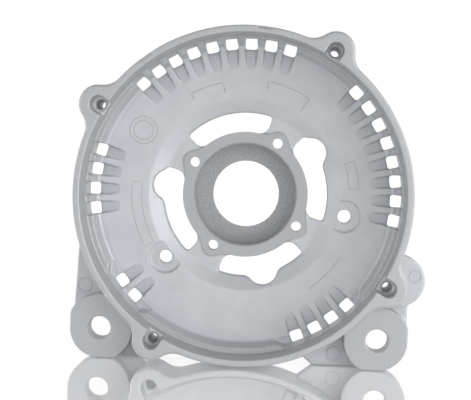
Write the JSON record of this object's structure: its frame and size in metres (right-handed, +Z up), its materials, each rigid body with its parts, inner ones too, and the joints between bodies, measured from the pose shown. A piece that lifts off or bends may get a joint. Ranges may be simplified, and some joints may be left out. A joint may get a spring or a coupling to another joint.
{
  "type": "alternator drive-end head",
  "caption": "Cast aluminium end head of a vehicle alternator: bearing pocket, spoked and vented end wall, rim with through-bolt bosses and two mounting ears.",
  "frame": {"origin": "bearing axis where it meets the machined retainer face of the hub", "axes": "+Y along the bearing axis towards the pulley side, so the open stator side faces -Y; +Z up, ears at the bottom; +X to the right as seen from the open side"},
  "size_m": [0.1591, 0.055, 0.1515],
  "materials": {
    "cast_aluminium": "as die cast, shot blasted, fine matt grain",
    "machined_aluminium": "turned, fine concentric tool marks"
  },
  "bodies": {
    "root": {"bearing_seat": "machined_aluminium", "bearing_shoulder": "machined_aluminium", "bolt_boss_lower_left": "cast_aluminium", "bolt_boss_lower_right": "cast_aluminium", "bolt_boss_upper_left": "cast_aluminium", "bolt_boss_upper_right": "cast_aluminium", "corner_bottom": "cast_aluminium", "corner_left": "cast_aluminium", "corner_lower_right": "cast_aluminium", "corner_upper_left": "cast_aluminium", "corner_upper_right": "cast_aluminium", "ear_web_left": "cast_aluminium", "ear_web_right": "cast_aluminium", "end_wall_bottom": "cast_aluminium", "end_wall_left": "cast_aluminium", "end_wall_right": "cast_aluminium", "end_wall_top": "cast_aluminium", "hub_barrel": "cast_aluminium", "mounting_ear_left": "cast_aluminium", "mounting_ear_right": "cast_aluminium", "retainer_flange": "machined_aluminium", "rim_bottom": "cast_aluminium", "rim_left": "cast_aluminium", "rim_right": "cast_aluminium", "rim_top": "cast_aluminium", "side_lug": "cast_aluminium", "spoke_lower_left": "cast_aluminium", "spoke_lower_right": "cast_aluminium", "spoke_ribs_lower_left": "cast_aluminium", "spoke_ribs_lower_right": "cast_aluminium", "spoke_ribs_upper_left": "cast_aluminium", "spoke_ribs_upper_right": "cast_aluminium", "spoke_upper_left": "cast_aluminium", "spoke_upper_right": "cast_aluminium", "vent_bars_left": "cast_aluminium", "vent_bars_lower_left": "cast_aluminium", "vent_bars_lower_right": "cast_aluminium", "vent_bars_right": "cast_aluminium", "vent_bars_top": "cast_aluminium"}
  },
  "joints": []
}
